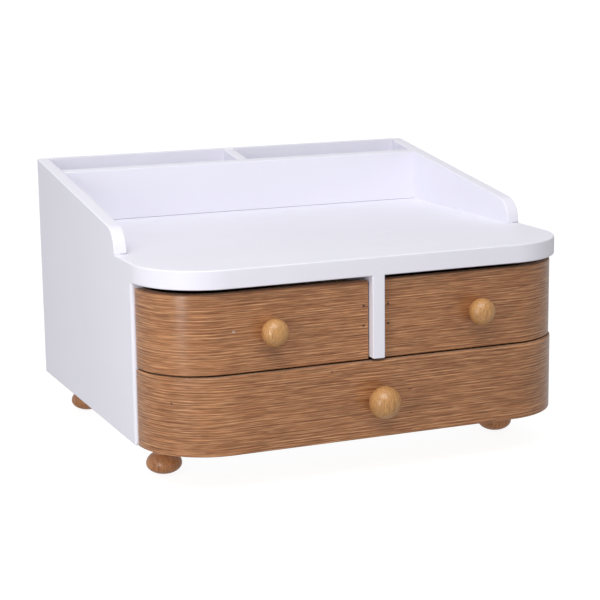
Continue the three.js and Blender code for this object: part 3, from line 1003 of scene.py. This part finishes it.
def make_lower_drawer():
    drawer = "lower_drawer"
    front = make_front(drawer, True, True, [])
    for side, word in ((-1, "left"), (1, "right")):
        make_wall(f"{drawer}_{word}_wall", along_y)
        make_corner_block(f"{drawer}_{word}_corner_block", front, side, f"{drawer}_{word}_wall")
    make_wall(f"{drawer}_back_wall", along_x)
    make_box_bottom(drawer, front)
    make_knob(drawer, "lower")
    make_knob_screw(drawer)


def make_upper_drawer(side):
    drawer = "upper_left_drawer" if side < 0 else "upper_right_drawer"
    holes = make_brads(drawer)
    front = make_front(drawer, side < 0, side > 0, holes)
    make_wall(f"{drawer}_outer_wall", along_y)
    make_wall(f"{drawer}_inner_wall", along_y)
    make_wall(f"{drawer}_back_wall", along_x)
    make_corner_block(f"{drawer}_corner_block", front, side, f"{drawer}_outer_wall")
    make_box_bottom(drawer, front)
    make_knob(drawer, "upper")
    make_knob_screw(drawer)


# ---------------------------------------------------------------- stage


def make_camera():
    yaw, pitch, roll = (math.radians(angle) for angle in (CAMERA_YAW, CAMERA_PITCH, CAMERA_ROLL))
    forward = Vector((
        math.sin(yaw) * math.cos(pitch),
        math.cos(yaw) * math.cos(pitch),
        math.sin(pitch),
    ))
    level = Vector((math.cos(yaw), -math.sin(yaw), 0))
    up = level.cross(forward)
    right = level * math.cos(roll) + up * math.sin(roll)
    top = up * math.cos(roll) - level * math.sin(roll)
    data = bpy.data.cameras.new("camera")
    data.lens = CAMERA_LENS
    data.sensor_width = SENSOR_WIDTH
    camera = bpy.data.objects.new("camera", data)
    turn = Matrix((right, top, -forward)).transposed().to_4x4()
    camera.matrix_world = Matrix.Translation(CAMERA_PLACE) @ turn
    bpy.context.scene.collection.objects.link(camera)
    bpy.context.scene.camera = camera


def make_floor():
    """A pale, evenly lit sweep."""
    recipe = Recipe("floor")
    clouds = recipe.noise(recipe.object_place(), (3, 3, 3))
    tone = recipe.ramp(clouds, [(0.3, 0.19), (0.7, 0.21)])
    seen = recipe.add("ShaderNodeLightPath", {}).outputs["Is Camera Ray"]
    glow = recipe.math("MULTIPLY_ADD", seen, FLOOR_SEEN - FLOOR_LIGHT, FLOOR_LIGHT)
    recipe.set(Base_Color=tone, Roughness=0.9)
    recipe.set(Emission_Color=(1, 1, 1, 1), Emission_Strength=glow)
    mesh = bmesh.new()
    bmesh.ops.create_grid(mesh, x_segments=1, y_segments=1, size=FLOOR_REACH)
    floor = new_piece("floor", mesh, [recipe.material])


def make_softbox(name, place, target, size, watts):
    data = bpy.data.lights.new(name, "AREA")
    data.shape = "RECTANGLE"
    data.size, data.size_y = size
    data.energy = watts
    light = bpy.data.objects.new(name, data)
    light.location = place
    light.rotation_mode = "QUATERNION"
    light.rotation_quaternion = (Vector(target) - Vector(place)).to_track_quat("-Z", "Y")
    bpy.context.scene.collection.objects.link(light)


def make_lights():
    """A broad light above the left front, a strip that stands at the left and draws the
    highlight on the bends, and a white room that lights from the left more than the right."""
    make_softbox("key", KEY_PLACE, KEY_TARGET, KEY_SIZE, KEY_WATTS)
    make_softbox("strip", STRIP_PLACE, STRIP_TARGET, STRIP_SIZE, STRIP_WATTS)
    world = bpy.data.worlds.new("studio")
    world.use_nodes = True
    tree = world.node_tree
    direction = tree.nodes.new("ShaderNodeTexCoord")
    across = tree.nodes.new("ShaderNodeSeparateXYZ")
    tree.links.new(direction.outputs["Generated"], across.inputs["Vector"])
    side = tree.nodes.new("ShaderNodeMapRange")
    side.inputs["From Min"].default_value = -1
    side.inputs["To Min"].default_value = ROOM_LEFT
    side.inputs["To Max"].default_value = ROOM_RIGHT
    tree.links.new(across.outputs["X"], side.inputs["Value"])
    rays = tree.nodes.new("ShaderNodeLightPath")
    strength = tree.nodes.new("ShaderNodeMapRange")
    tree.links.new(side.outputs["Result"], strength.inputs["To Min"])
    strength.inputs["To Max"].default_value = ROOM_SEEN
    tree.links.new(rays.outputs["Is Camera Ray"], strength.inputs["Value"])
    background = tree.nodes["Background"]
    background.inputs["Color"].default_value = (1, 1, 1, 1)
    tree.links.new(strength.outputs["Result"], background.inputs["Strength"])
    bpy.context.scene.world = world


make_case()
make_lower_drawer()
make_upper_drawer(-1)
make_upper_drawer(1)
make_camera()
make_floor()
make_lights()
bpy.context.scene.view_settings.view_transform = "Standard"
